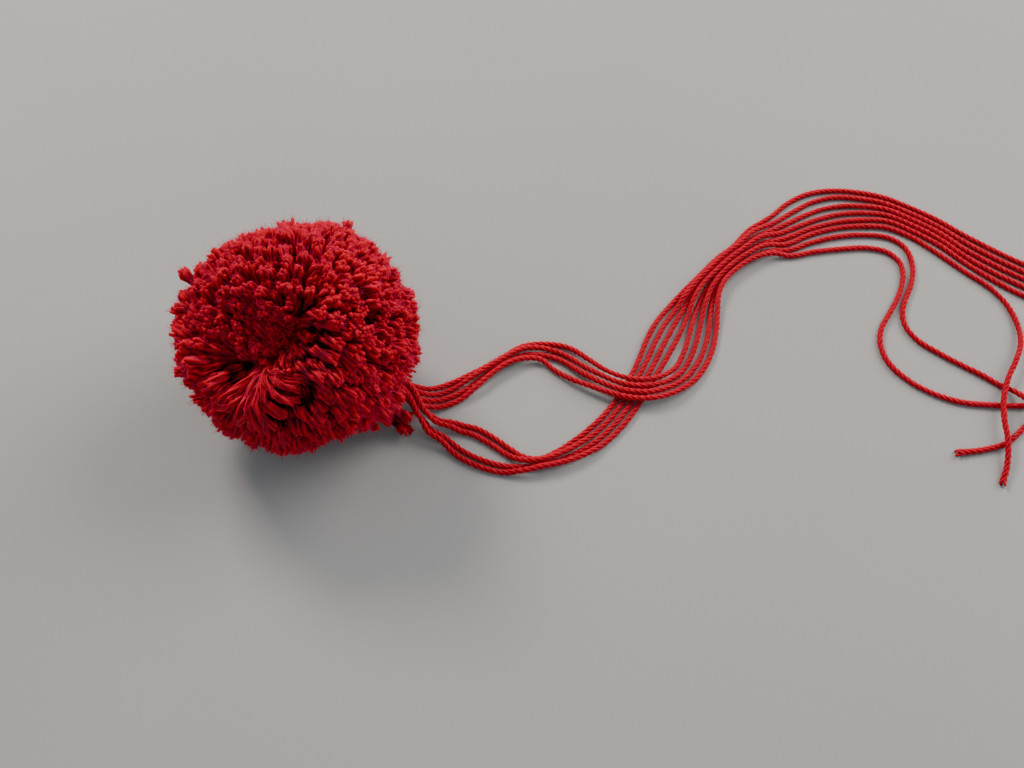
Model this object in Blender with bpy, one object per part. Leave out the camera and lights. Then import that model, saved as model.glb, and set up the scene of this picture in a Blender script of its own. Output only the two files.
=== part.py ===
"""A yarn pom pom lying on a table with the two long tails of its tie.

The ball is a round core from which some 250 four-sided locks of yarn stand out, parted by a cleft where
the tie draws it in. Two bunches of four strands leave it low on the right, cross, pinch together, fan out
and end loose. Sizes and routes are in millimetres, and become metres where a mesh or a curve is made.
+Z is up, the table is z = 0, and the origin is under the middle of the ball, on the lock that it rests on.
"""

import math

import bmesh
import bpy
import numpy as np

MM = 0.001

# The ball
BALL_CENTRE = np.array((0.0, 0.0, 28.0))
BALL_RADII = np.array((30.0, 28.8, 28.8))
CORE_RADIUS = 11.0

# Its locks
LOCK_COUNT = 250
LOCK_SEED = 7
LOCK_SPACING = math.sqrt(4 * math.pi / LOCK_COUNT)  # between neighbours, as an angle
SPREAD_ROUNDS = 80  # of pushing the locks apart until they are even
SPREAD_STEP = 0.02
SPREAD_POWER = 4  # how fast the push fades with distance
LOCK_GAP = 0.6  # between neighbouring locks, all the way out
ROOT_SHARE = 0.74  # of the room that a lock's root has on the core
TURNS_TRIED = 6  # ways to turn a lock's four corners inside its room
NEIGHBOUR_REACH = 4 * LOCK_SPACING  # locks further off than this don't bound a lock's room
NEIGHBOUR_FACING = 0.2  # nor do those that a corner hardly points at
SLANT = (0.3, 0.5, 0.81)  # a direction that no lock lies along, from which their corners are turned
RING_PLACES = (0.34, 0.68, 1.0)  # along a lock, from near its root to the rim of its cut end
TIP_DROP = 1.4  # from a lock's cut end down to its rim
LENGTH_SPREAD = 0.9  # how unevenly the locks were trimmed
FOOT_MIDDLE = np.array((4.5, 1.5))  # of the flat spot, which is under the whole thing's weight
FOOT_REACH = 12.5  # of the flat spot: the locks that meet the table inside it end flat on it
FLOOR_ROOM = 0.6  # between the table and the other locks

# Places where the trimmed outline stands out or falls back, seen from the ball's centre
OUTLINE_TUFTS = (
    # azimuth, elevation (degrees), out (mm), width (degrees)
    (90, 38, 0.8, 5),
    (83, 37, -3.6, 5),
    (105, 40, -3.1, 10),
    (121, 37, -1.5, 16),
    (32, 16, -0.9, 13),
    (46, 23, -0.8, 6),
    (55, 28, 0.9, 6),
    (167, 26, 3.0, 6),
    (152, 32, -1.4, 5),
    (142, 38, -0.8, 4),
    (129, 40, -1.6, 6),
    (-14, -15, -4.4, 8),
    (-27, -20, -3.4, 9),
    (-64, -28, -3.5, 14),
    (-43, -26, -1.3, 8),
    (-154, 3, 0.8, 6),
    (-114, -18, 0.3, 14),
    (-142, -8, -1.0, 6),
    (-15, 72, -1.5, 9),
    (30, 40, 0.8, 22),
    # yarn that splays out under the tie
    (-12, -46, 7.5, 7),
    (-24, -44, 7.6, 7),
    (-17, -43, 2.5, 6),
)

# The cleft, from its left end to its right end
CLEFT_ROUTE = (
    # azimuth, elevation (degrees), how much of the full depth it has there
    (-130, 26, 0.3),
    (-120, 25.5, 0.8),
    (-110, 26.5, 1.0),
    (-102, 29, 1.0),
    (-93, 36, 1.0),
    (-83, 46, 1.0),
    (-72, 55, 0.9),
    (-58, 61, 0.5),
    (-42, 66, 0.2),
)
CLEFT_STEP = 0.02  # between the points of its smooth line, on a unit sphere
CLEFT_EDGE = 3.0  # how sharply its lower side and its upper side change over
CLEFT_CURL = 2.2  # above 1, the locks bend more near their ends
CLEFT_BELOW = (math.radians(31), math.radians(40))  # how far the locks below it bend, and how wide
CLEFT_ABOVE = (math.radians(17), math.radians(38))
CLEFT_DIP = (0.05, 0.16)  # share by which the locks below and above it are shorter
CLEFT_DIP_WIDTH = (math.radians(16), math.radians(18))
CLEFT_CORE = math.radians(5.5)  # locks this near its line end inside it
CLEFT_CORE_LENGTH = 0.6

# The bowl that the ball's side above the cleft sinks into
BOWL_MIDDLE = (-128, 52)
BOWL_DIP = 0.33
BOWL_WIDTH = math.radians(33)

# The tie: two groups of four strands, a on the far side and b on the near side of the loop
TIE_THICK = 1.5
TIE_STEP = 3 * TIE_THICK  # between the points of a strand's tube
TIE_SIDE_BY_SIDE = 1.9  # a strand nearer than this to its neighbour rides up on it
TIE_ROOM = 0.35  # between a strand and a lock
TIE_REACH = 4.15  # from the middle of the tie to the locks that part around it
TIE_FADE = 16.0  # how far from the tie the locks still lean out of its way
TIE_IN_BALL = 8  # points of each strand that are in the ball or close to it
TIE_CHECK_STEP = 1.0  # how finely a strand is followed where it passes the locks
LOCK_CHECKS = 6  # sections tried on each stretch of a lock

# Each row: the middle of the group (x, y), the lift of its lowest strand off the table, and how far each
# strand, first to fourth, lies to the left of that middle
GROUP_A = (
    # x, y, lift, first, second, third, fourth
    (8.6, -1.2, 18.8, 2.1, 0.7, -0.7, -2.1),
    (14.5, -1.8, 13.8, 2.1, 0.7, -0.7, -2.1),
    (20.5, -2.6, 8.4, 2.1, 0.7, -0.7, -2.1),
    (26.0, -3.2, 3.9, 2.6, 0.85, -0.85, -2.6),
    (31.5, -2.9, 1.1, 2.85, 0.95, -0.95, -2.85),
    (37.0, -0.6, 0.2, 2.85, 0.95, -0.95, -2.85),
    (42.0, 2.9, 0.0, 2.2, 0.7, -0.8, -2.3),
    (46.8, 6.4, 0.0, 1.6, 0.5, -0.5, -1.6),
    (51.2, 9.4, 0.0, 1.5, 0.5, -0.5, -1.5),
    (56.0, 11.8, 0.0, 2.2, 0.8, -0.6, -2.2),
    (61.0, 12.0, 0.0, 2.8, 1.0, -0.85, -2.65),
    (66.0, 9.8, 0.2, 4.2, 1.6, -0.4, -4.0),
    (71.0, 6.3, 0.8, 3.9, 1.3, -0.7, -3.9),
    (76.0, 3.0, 1.6, 3.1, 1.1, -0.9, -3.2),
    (80.5, 0.8, 1.9, 2.9, 0.95, -0.95, -2.9),
    (85.5, -0.4, 1.95, 2.9, 0.95, -0.95, -2.9),
    (90.5, -0.2, 1.95, 2.9, 0.95, -0.95, -2.9),
    (95.3, 1.8, 1.3, 2.9, 0.95, -0.95, -2.9),
    (99.4, 5.2, 0.4, 3.1, 1.0, -1.0, -3.1),
    (102.4, 9.8, 0.0, 3.5, 1.2, -1.2, -3.4),
    (104.5, 15.0, 0.0, 3.7, 1.3, -1.3, -3.5),
    (106.0, 20.5, 0.0, 3.5, 1.2, -1.2, -3.3),
    (107.2, 26.0, 0.0, 2.8, 1.0, -1.0, -2.8),
    (108.9, 31.2, 0.0, 2.0, 0.7, -0.6, -1.9),
    (111.6, 36.0, 0.0, 1.45, 0.48, -0.48, -1.45),
    (115.7, 40.4, 0.0, 1.45, 0.48, -0.48, -1.45),
    (120.6, 44.1, 0.0, 1.6, 0.55, -0.55, -1.6),
    (126.3, 47.1, 0.0, 2.4, 0.8, -0.8, -2.4),
)
GROUP_B = (
    # x, y, lift, first, second, third, fourth
    (10.6, -1.2, 21.2, 2.1, 0.7, -0.7, -2.1),
    (16.9, -2.1, 15.9, 2.1, 0.7, -0.7, -2.1),
    (23.1, -3.5, 11.0, 1.45, 0.48, -0.48, -1.45),
    (26.2, -5.6, 7.3, 1.0, 0.9, -0.9, -1.0),
    (28.5, -8.6, 3.9, 1.15, 0.75, -0.8, -1.1),
    (30.2, -10.1, 2.5, 1.6, 0.7, -0.9, -1.7),
    (32.2, -11.7, 1.4, 2.3, 0.9, -1.2, -2.6),
    (35.4, -13.1, 0.6, 3.5, 1.8, -1.3, -2.9),
    (38.0, -14.7, 0.1, 4.6, 2.7, -1.6, -3.45),
    (40.6, -16.2, 0.0, 5.4, 3.4, -2.0, -4.0),
    (45.8, -18.7, 0.0, 4.9, 2.9, -2.2, -4.2),
    (50.8, -20.9, 0.0, 3.7, 1.8, -1.5, -3.4),
    (55.6, -21.9, 0.0, 2.1, 0.7, -0.7, -2.2),
    (60.0, -21.6, 0.0, 1.45, 0.48, -0.5, -1.5),
    (65.4, -19.9, 0.0, 2.0, 0.7, -0.6, -1.9),
    (70.5, -17.0, 0.0, 2.6, 0.9, -0.8, -2.5),
    (75.1, -13.4, 0.0, 2.85, 0.95, -0.95, -2.85),
    (79.1, -9.3, 0.0, 2.85, 0.95, -0.95, -2.85),
    (82.4, -4.9, 0.0, 2.85, 0.95, -0.95, -2.85),
    (85.3, -0.3, 0.0, 2.85, 0.95, -0.95, -2.85),
    (88.0, 4.6, 0.0, 2.9, 1.0, -1.0, -2.9),
    (90.6, 9.6, 0.0, 3.3, 1.1, -1.1, -3.3),
    (93.1, 14.7, 0.0, 3.7, 1.3, -1.1, -3.6),
    (95.9, 19.9, 0.0, 3.8, 1.4, -1.0, -3.5),
    (98.9, 25.1, 0.0, 3.0, 1.0, -0.9, -2.9),
    (102.0, 30.1, 0.0, 2.1, 0.7, -0.6, -1.9),
    (105.2, 34.6, 0.0, 1.45, 0.48, -0.48, -1.45),
    (108.9, 38.8, 0.0, 1.45, 0.48, -0.48, -1.45),
    (113.2, 43.2, 0.0, 1.45, 0.48, -0.48, -1.45),
    (118.0, 47.3, 0.0, 1.5, 0.5, -0.5, -1.5),
    (123.4, 52.2, 0.0, 2.3, 0.75, -0.65, -2.05),
)
# Past the pinched neck each strand goes its own way: x, y and lift off the table
TAILS = {
    "a1": (
        (131.8, 50.9, 0), (140.0, 54.6, 0), (148.0, 57.0, 0), (156.0, 57.8, 0), (163.0, 57.3, 0),
        (170.0, 53.4, 0), (176.5, 48.6, 0), (182.5, 42.4, 0), (189.0, 36.6, 0), (196.0, 31.4, 0),
        (204.0, 26.6, 0), (212.0, 21.2, 0), (219.5, 15.0, 0), (226.0, 8.0, 0),
    ),
    "a2": (
        (132.3, 48.9, 0), (140.0, 52.5, 0), (148.0, 54.8, 0), (156.0, 55.5, 0), (162.5, 54.9, 0),
        (169.0, 51.4, 0), (175.5, 45.6, 0), (181.9, 39.2, 0), (187.9, 33.6, 0), (191.5, 27.6, 0),
        (192.7, 21.0, 0.3), (191.8, 14.4, 1.2), (189.0, 8.6, 1.95), (185.4, 2.6, 1.95), (182.7, -4.1, 1.95),
        (181.6, -10.0, 1.95), (181.2, -15.9, 1.95), (180.0, -22.3, 0.7), (177.8, -27.6, 0.0),
    ),
    "a3": (
        (132.7, 46.8, 0), (140.0, 49.7, 0), (148.0, 51.8, 0), (156.0, 52.3, 0), (162.3, 51.3, 0),
        (166.2, 48.0, 0), (167.4, 43.5, 0), (167.1, 38.8, 0), (165.6, 34.0, 0), (163.2, 29.3, 0),
        (161.6, 24.6, 0), (161.9, 20.0, 0), (164.5, 15.7, 0), (169.2, 11.9, 0), (174.6, 8.1, 0),
        (179.8, 4.7, 0), (183.8, 1.6, 0), (187.2, -1.0, 0.9), (189.3, -5.0, 2.2), (188.6, -9.4, 1.0),
        (185.6, -12.6, 0.1), (181.3, -15.9, 0), (174.9, -17.7, 0), (167.8, -18.6, 0),
    ),
    "a4": (
        (133.1, 44.7, 0), (140.0, 46.2, 0), (148.5, 47.3, 0), (155.5, 47.6, 0), (160.8, 46.2, 0),
        (163.8, 42.8, 0), (164.2, 38.4, 0), (162.9, 33.6, 0), (160.6, 29.0, 0), (157.8, 24.5, 0),
        (154.9, 19.7, 0), (153.8, 14.3, 0), (155.1, 8.6, 0), (159.4, 3.2, 0), (165.4, -0.9, 0),
        (172.3, -3.5, 0), (180.3, -4.4, 0), (188.2, -4.6, 0), (196.0, -3.8, 0), (203.0, -1.8, 0),
    ),
    "b1": (
        (129.2, 59.3, 0), (134.7, 64.2, 0), (141.0, 67.6, 0), (148.5, 68.9, 0), (156.0, 68.2, 0),
        (163.5, 66.2, 0), (170.5, 62.5, 0), (177.5, 57.9, 0), (184.5, 52.2, 0), (191.5, 47.0, 0),
        (199.0, 42.0, 0), (207.0, 37.0, 0), (215.0, 31.6, 0), (222.5, 25.4, 0),
    ),
    "b2": (
        (130.0, 57.0, 0), (135.9, 61.0, 0), (141.9, 64.5, 0), (148.8, 66.3, 0), (156.0, 65.8, 0),
        (163.0, 64.1, 0), (170.0, 60.4, 0), (177.0, 55.7, 0), (184.0, 49.7, 0), (191.0, 44.3, 0),
        (198.5, 39.3, 0), (206.5, 34.4, 0), (214.5, 29.0, 0), (222.0, 22.6, 0),
    ),
    "b3": (
        (130.7, 55.0, 0), (137.1, 58.5, 0), (142.9, 61.3, 0), (149.2, 62.9, 0), (156.0, 63.0, 0),
        (163.0, 61.9, 0), (170.0, 58.1, 0), (177.0, 53.3, 0), (183.5, 47.1, 0), (190.5, 41.7, 0),
        (198.0, 36.7, 0), (206.0, 31.8, 0), (214.0, 26.3, 0), (221.5, 19.9, 0),
    ),
    "b4": (
        (131.2, 53.0, 0), (138.0, 56.1, 0), (143.6, 58.4, 0), (149.7, 60.0, 0), (156.0, 60.4, 0),
        (163.0, 59.6, 0), (170.0, 55.8, 0), (176.8, 51.0, 0), (183.0, 44.7, 0), (189.8, 39.1, 0),
        (197.2, 34.1, 0), (205.2, 29.2, 0), (213.2, 23.8, 0), (220.5, 17.4, 0),
    ),
}

YARN_RED = (0.62, 0.012, 0.022, 1.0)


def unit(vectors):
    return vectors / np.linalg.norm(vectors, axis=-1, keepdims=True)


def toward(azimuth, elevation):
    """Unit vector from the ball's centre, from angles in degrees."""
    azimuth, elevation = math.radians(azimuth), math.radians(elevation)
    level = math.cos(elevation)
    return np.array((level * math.cos(azimuth), level * math.sin(azimuth), math.sin(elevation)))


def smooth_route(points, step, samples=12):
    """Points about `step` apart along a centripetal Catmull-Rom curve through the given ones."""
    through = np.array(points, float)
    through = np.vstack((2 * through[0] - through[1], through, 2 * through[-1] - through[-2]))
    fine = []
    for a, b, c, d in zip(through[:-3], through[1:-2], through[2:-1], through[3:]):
        ta = math.sqrt(np.linalg.norm(b - a))
        tb = ta + math.sqrt(np.linalg.norm(c - b))
        tc = tb + math.sqrt(np.linalg.norm(d - c))
        for t in np.linspace(ta, tb, samples, endpoint=False):
            first = a + (b - a) * t / ta
            second = b + (c - b) * (t - ta) / (tb - ta)
            third = c + (d - c) * (t - tb) / (tc - tb)
            left = first + (second - first) * t / tb
            right = second + (third - second) * (t - ta) / (tc - ta)
            fine.append(left + (right - left) * (t - ta) / (tb - ta))
    fine = np.array(fine + [through[-2]])
    along = np.concatenate(([0], np.cumsum(np.linalg.norm(np.diff(fine, axis=0), axis=1))))
    places = np.linspace(0, along[-1], round(along[-1] / step) + 1)
    return np.column_stack([np.interp(places, along, fine[:, axis]) for axis in range(3)])


# The tie


def group_routes(rows):
    """The four strands of a group where they lie side by side, or two high where they are pinched."""
    rows = np.array(rows, float)
    middle, lift, across = rows[:, :2], rows[:, 2], rows[:, 3:]
    heading = unit(np.gradient(middle, axis=0))
    left = np.column_stack((-heading[:, 1], heading[:, 0]))
    level = np.linalg.norm(unit(np.gradient(rows[:, :3], axis=0))[:, :2], axis=1)
    spacing = -np.diff(across, axis=1)
    nearest = {1: np.minimum(spacing[:, 0], spacing[:, 1]), 3: spacing[:, 2]}
    routes = []
    for strand in range(4):
        rise = np.zeros(len(rows))
        if strand in nearest:
            rise = np.sqrt(np.clip(TIE_SIDE_BY_SIDE**2 - nearest[strand] ** 2, 0, None)) / level
        places = middle + left * across[:, strand : strand + 1]
        routes.append(np.column_stack((places, TIE_THICK / 2 + lift + rise)))
    return routes


def tie_routes():
    """Each strand's points by its name, from the core to its loose end, never below the table."""
    found = {}
    for letter, rows in (("a", GROUP_A), ("b", GROUP_B)):
        for strand, start in enumerate(group_routes(rows)):
            name = f"{letter}{strand + 1}"
            tail = np.array(TAILS[name], float) + (0, 0, TIE_THICK / 2)
            route = smooth_route(np.vstack((start, tail)), TIE_STEP)
            route[:, 2] = np.maximum(route[:, 2], TIE_THICK / 2)
            found[name] = route
    return found


def tie_middle(routes):
    """Points along the middle of the strands, as far as they run in the ball or close to it."""
    inside = np.array([route[:TIE_IN_BALL] for route in routes.values()])
    return smooth_route(inside.mean(axis=0), TIE_CHECK_STEP)


# The ball


def lock_directions():
    """Evenly spread directions, the first of them straight down."""
    draw = np.random.default_rng(LOCK_SEED)
    found = unit(draw.normal(size=(LOCK_COUNT, 3)))
    found[0] = (0, 0, -1)
    for _ in range(SPREAD_ROUNDS):
        apart = found[:, None] - found[None]
        distance = np.linalg.norm(apart, axis=2) + np.eye(LOCK_COUNT)
        push = (apart * (LOCK_SPACING / distance[..., None]) ** SPREAD_POWER).sum(axis=1)
        found = unit(found + push * SPREAD_STEP)
        found[0] = (0, 0, -1)
    return found


def outline_radius(directions):
    """How far from the ball's centre the yarn was trimmed, in each direction."""
    radius = 1 / np.linalg.norm(directions / BALL_RADII, axis=-1)
    for azimuth, elevation, out, width in OUTLINE_TUFTS:
        angle = np.arccos(np.clip(directions @ toward(azimuth, elevation), -1, 1))
        radius += out * np.exp(-((angle / math.radians(width)) ** 2))
    return radius


def cleft_line():
    """Directions along the cleft, for each the direction that points below it, and its share of the depth."""
    given = np.array([toward(azimuth, elevation) for azimuth, elevation, _ in CLEFT_ROUTE])
    line = unit(smooth_route(given, CLEFT_STEP))
    at = (given @ line.T).argmax(axis=1)
    depth = np.interp(np.arange(len(line)), at, [depth for _, _, depth in CLEFT_ROUTE])
    return line, unit(np.cross(np.gradient(line, axis=0), line)), depth


CLEFT_LINE, BELOW_CLEFT, CLEFT_DEPTH = cleft_line()


def beside_cleft(directions):
    """For each direction: its nearest point of the cleft, the angle to it, the way there from it, how far it
    counts as below the cleft, from 0 to 1, and the cleft's share of its full depth there."""
    cosine = directions @ CLEFT_LINE.T
    nearest = cosine.argmax(axis=-1)
    foot = CLEFT_LINE[nearest]
    angle = np.arccos(np.clip(cosine.max(axis=-1), -1, 1))
    away = unit(directions - np.cos(angle)[..., None] * foot + 1e-9)
    side = (away * BELOW_CLEFT[nearest]).sum(axis=-1)
    return foot, angle, away, 0.5 + 0.5 * np.tanh(CLEFT_EDGE * side), CLEFT_DEPTH[nearest]


def bent(directions, place):
    """Directions turned away from the cleft, more and more from the core (place 0) to the surface (1)."""
    foot, angle, away, below, depth = beside_cleft(directions)
    turn = below * CLEFT_BELOW[0] * np.exp(-angle / CLEFT_BELOW[1])
    turn += (1 - below) * CLEFT_ABOVE[0] * np.exp(-angle / CLEFT_ABOVE[1])
    angle = (angle + depth * turn * place**CLEFT_CURL)[..., None]
    return np.cos(angle) * foot + np.sin(angle) * away


def parted(points, middle):
    """Points moved off the middle line of the tie, all of them staying in their order around it."""
    apart = points[:, None] - middle[None]
    distance = np.linalg.norm(apart, axis=2)
    nearest = distance.argmin(axis=1)
    away = apart[np.arange(len(points)), nearest]
    near = np.maximum(distance.min(axis=1), 1e-6)[:, None]
    step = np.clip(TIE_REACH * (1 - near / TIE_FADE), 0, None)
    return points + away / near * step


def carries(axis):
    """Whether a lock in this direction meets the table inside the flat spot."""
    if axis[2] >= 0:
        return False
    place = axis[:2] * BALL_CENTRE[2] / -axis[2]
    return np.linalg.norm(place - FOOT_MIDDLE) < FOOT_REACH


def lock_lengths(directions):
    """How far from the ball's centre each lock's cut end is."""
    draw = np.random.default_rng(LOCK_SEED + 1)
    radius = outline_radius(bent(directions, 1.0))
    radius += draw.uniform(-LENGTH_SPREAD, LENGTH_SPREAD, len(directions))
    _, angle, _, below, depth = beside_cleft(directions)
    dip = below * CLEFT_DIP[0] + (1 - below) * CLEFT_DIP[1]
    width = below * CLEFT_DIP_WIDTH[0] + (1 - below) * CLEFT_DIP_WIDTH[1]
    dip = depth * dip * np.exp(-((angle / width) ** 2))
    bowl_angle = np.arccos(np.clip(directions @ toward(*BOWL_MIDDLE), -1, 1))
    dip += (1 - below) * BOWL_DIP * np.exp(-((bowl_angle / BOWL_WIDTH) ** 2))
    radius *= 1 - dip
    inside = CORE_RADIUS + (radius - CORE_RADIUS) * CLEFT_CORE_LENGTH
    return np.where(angle < CLEFT_CORE * depth, inside, radius)


def lock_corners(axis, others, gap_angle, turn):
    """Four directions at the corners of the room that a lock has between its neighbours."""
    sideways = unit(np.cross(axis, SLANT))
    upward = np.cross(axis, sideways)
    angle = np.arccos(np.clip(others @ axis, -1, 1))
    near = angle < NEIGHBOUR_REACH
    toward_others = unit(others[near] - np.cos(angle[near])[:, None] * axis)
    half = np.tan(angle[near] / 2) - gap_angle
    corners = []
    for corner in range(4):
        heading = turn + corner * math.pi / 2
        outward = math.cos(heading) * sideways + math.sin(heading) * upward
        facing = toward_others @ outward
        bounding = facing > NEIGHBOUR_FACING
        reach = (half[bounding] / facing[bounding]).min()
        corners.append((outward, reach))
    return corners


def best_turn(axis, others):
    """The turn at which a lock's section fills most of its room."""

    def area(turn):
        reach = [reach for _, reach in lock_corners(axis, others, 0.0, turn)]
        return (reach[0] + reach[2]) * (reach[1] + reach[3])

    return max(np.arange(TURNS_TRIED) * math.pi / 2 / TURNS_TRIED, key=area)


def lock_sections(axis, others, length, foot, tie):
    """A lock's sections from its root to its rim, four points each, and the middle of its cut end, all
    measured from the ball's centre. `tie` is the tie's middle line, measured from there too."""
    turn = best_turn(axis, others)
    root_reach = math.tan(ROOT_SHARE * np.arccos(np.clip(others @ axis, -1, 1)).min() / 2)
    root = unit(parted(axis[None] * CORE_RADIUS, tie))
    outward = np.array([outward for outward, _ in lock_corners(axis, others, 0.0, turn)])
    sections = [unit(root + outward * root_reach) * CORE_RADIUS]
    for place in RING_PLACES:
        radius = CORE_RADIUS + (length - TIP_DROP - CORE_RADIUS) * place
        corners = lock_corners(axis, others, LOCK_GAP / 2 / radius, turn)
        ways = unit(np.array([axis + outward * reach for outward, reach in corners]))
        sections.append(parted(bent(ways, place) * radius, tie))
    if foot:
        sections[-1] *= -BALL_CENTRE[2] / sections[-1][:, 2:]
        return sections, sections[-1].mean(axis=0)
    return sections, parted(bent(axis[None], 1.0) * length, tie)[0]


def all_locks():
    """Sections and tip of every lock that stands clear of the tie, in place over the table."""
    directions = lock_directions()
    lengths = lock_lengths(directions)
    routes = tie_routes()
    middle = tie_middle(routes) - BALL_CENTRE
    tie = np.vstack([smooth_route(route[:TIE_IN_BALL], TIE_CHECK_STEP) for route in routes.values()])
    lowest = FLOOR_ROOM - BALL_CENTRE[2]
    found = []
    for number, (axis, length) in enumerate(zip(directions, lengths)):
        others = np.delete(directions, number, axis=0)
        foot = carries(axis)
        if foot:
            length = BALL_CENTRE[2] + TIP_DROP
        sections, tip = lock_sections(axis, others, length, foot, middle)
        low = min(sections[-1][:, 2].min(), tip[2])
        if not foot and low < lowest:
            sections, tip = lock_sections(axis, others, length * lowest / low, foot, middle)
        sections = [section + BALL_CENTRE for section in sections]
        if clear_of(tie, sections):
            found.append((sections, tip + BALL_CENTRE))
    return found


def clear_of(tie, sections):
    """Whether no part of a lock comes nearer to the tie's middle lines than half a strand and its room."""
    for inner, outer in zip(sections, sections[1:]):
        for share in np.linspace(0, 1, LOCK_CHECKS):
            section = inner + (outer - inner) * share
            rim = np.vstack((section, (section + np.roll(section, 1, axis=0)) / 2, section.mean(axis=0)))
            nearest = np.linalg.norm(rim[:, None] - tie[None], axis=2).min()
            if nearest < TIE_THICK / 2 + TIE_ROOM:
                return False
    return True


def make_ball(collection, material):
    """The core is the hull of all the locks' roots, and each lock is lofted out from its root."""
    mesh = bmesh.new()
    grown = []
    owner = {}
    for number, (sections, tip) in enumerate(all_locks()):
        rings = [[mesh.verts.new((point - BALL_CENTRE) * MM) for point in sections[0]]]
        owner.update((vertex, number) for vertex in rings[0])
        grown.append((rings, sections[1:], tip))
    bmesh.ops.convex_hull(mesh, input=mesh.verts[:])
    under_locks = [face for face in mesh.faces if len({owner[vertex] for vertex in face.verts}) == 1]
    bmesh.ops.delete(mesh, geom=under_locks, context="FACES_ONLY")
    for rings, sections, tip in grown:
        for section in sections:
            rings.append([mesh.verts.new((point - BALL_CENTRE) * MM) for point in section])
        for inner, outer in zip(rings, rings[1:]):
            for a, b, c, d in zip(inner, inner[1:] + inner[:1], outer[1:] + outer[:1], outer):
                mesh.faces.new((a, b, c, d))
        end = mesh.verts.new((tip - BALL_CENTRE) * MM)
        for a, b in zip(rings[-1], rings[-1][1:] + rings[-1][:1]):
            mesh.faces.new((a, b, end))
    bmesh.ops.triangulate(mesh, faces=mesh.faces[:])
    bmesh.ops.recalc_face_normals(mesh, faces=mesh.faces[:])
    data = bpy.data.meshes.new("pompom_ball")
    mesh.to_mesh(data)
    mesh.free()
    data.materials.append(material)
    ball = bpy.data.objects.new("pompom_ball", data)
    ball.location = BALL_CENTRE * MM
    collection.objects.link(ball)
    return ball


def make_strand(name, route, collection, material):
    """One strand of the tie, a round tube along its points."""
    curve = bpy.data.curves.new(name, "CURVE")
    curve.dimensions = "3D"
    curve.bevel_depth = TIE_THICK / 2 * MM
    curve.bevel_resolution = 2
    curve.use_fill_caps = True
    spline = curve.splines.new("POLY")
    spline.points.add(len(route) - 1)
    for point, place in zip(spline.points, route):
        point.co = (*(place * MM), 1)
    curve.materials.append(material)
    strand = bpy.data.objects.new(name, curve)
    collection.objects.link(strand)
    return strand


def yarn_material():
    material = bpy.data.materials.new("red_yarn")
    material.diffuse_color = YARN_RED
    material.use_nodes = True
    shader = material.node_tree.nodes["Principled BSDF"]
    shader.inputs["Base Color"].default_value = YARN_RED
    shader.inputs["Roughness"].default_value = 0.9
    shader.inputs["Metallic"].default_value = 0.0
    return material


def main():
    for obj in list(bpy.data.objects):
        bpy.data.objects.remove(obj)
    collection = bpy.data.collections.new("yarn_pom_pom")
    bpy.context.scene.collection.children.link(collection)
    material = yarn_material()
    whole = bpy.data.objects.new("pom_pom_origin", None)
    collection.objects.link(whole)
    pieces = [make_ball(collection, material)]
    for name, route in tie_routes().items():
        pieces.append(make_strand(f"tie_strand_{name}", route, collection, material))
    for piece in pieces:
        piece.parent = whole


main()
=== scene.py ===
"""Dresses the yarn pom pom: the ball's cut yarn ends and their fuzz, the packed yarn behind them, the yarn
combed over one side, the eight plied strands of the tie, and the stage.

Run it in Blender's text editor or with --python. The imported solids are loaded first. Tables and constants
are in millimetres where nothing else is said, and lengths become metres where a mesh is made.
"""

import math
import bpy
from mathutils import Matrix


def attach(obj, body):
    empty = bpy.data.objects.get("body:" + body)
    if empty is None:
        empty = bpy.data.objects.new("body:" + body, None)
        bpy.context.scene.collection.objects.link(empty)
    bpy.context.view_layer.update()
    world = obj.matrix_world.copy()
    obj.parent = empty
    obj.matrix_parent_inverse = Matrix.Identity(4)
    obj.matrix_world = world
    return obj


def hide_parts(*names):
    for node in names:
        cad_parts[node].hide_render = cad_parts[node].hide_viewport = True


bl_info = {
    "name": "Yarn pom pom",
    "version": (1, 0, 0),
    "blender": (4, 5, 0),
    "location": "3D View > Sidebar > Pom pom",
    "description": "Makes the yarn of a pom pom and its tie around the packed solids",
    "category": "Object",
}

import bpy
import numpy as np
from mathutils import Vector

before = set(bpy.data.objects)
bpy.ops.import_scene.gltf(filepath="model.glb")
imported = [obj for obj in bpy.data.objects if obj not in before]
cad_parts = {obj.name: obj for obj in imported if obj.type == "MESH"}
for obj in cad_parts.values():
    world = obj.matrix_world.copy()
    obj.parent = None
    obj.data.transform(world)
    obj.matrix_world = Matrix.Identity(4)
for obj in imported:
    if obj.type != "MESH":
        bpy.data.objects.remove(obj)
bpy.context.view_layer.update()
BODY = "root"
MM = 0.001

# The ball: its centre over the table, its trimmed size and the core that its yarn stands out of
BALL_CENTRE = np.array((0.0, 0.0, 28.0))
BALL_RADII = np.array((30.0, 28.8, 28.8))
CORE_RADIUS = 11.0

# How directions are spread evenly over the ball
SPREAD_SEED = 7
SPREAD_ROUNDS = 80
SPREAD_STEP = 0.02
SPREAD_STEP_COUNT = 250  # the count of directions that this step suits; with more it shortens
SPREAD_POWER = 4
SPREAD_LOTS = 4  # worked through in so many lots, to save memory

# The flat spot that the ball rests on
FOOT_MIDDLE = np.array((4.5, 1.5))
FOOT_REACH = 12.5
FLOOR_ROOM = 0.5  # how high over the table the lowest yarn ends
FOOT_LOWER = 0.2  # yarn in the flat spot ends this much lower
LOWEST = 0.02  # no corner of a piece is below this height

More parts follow.
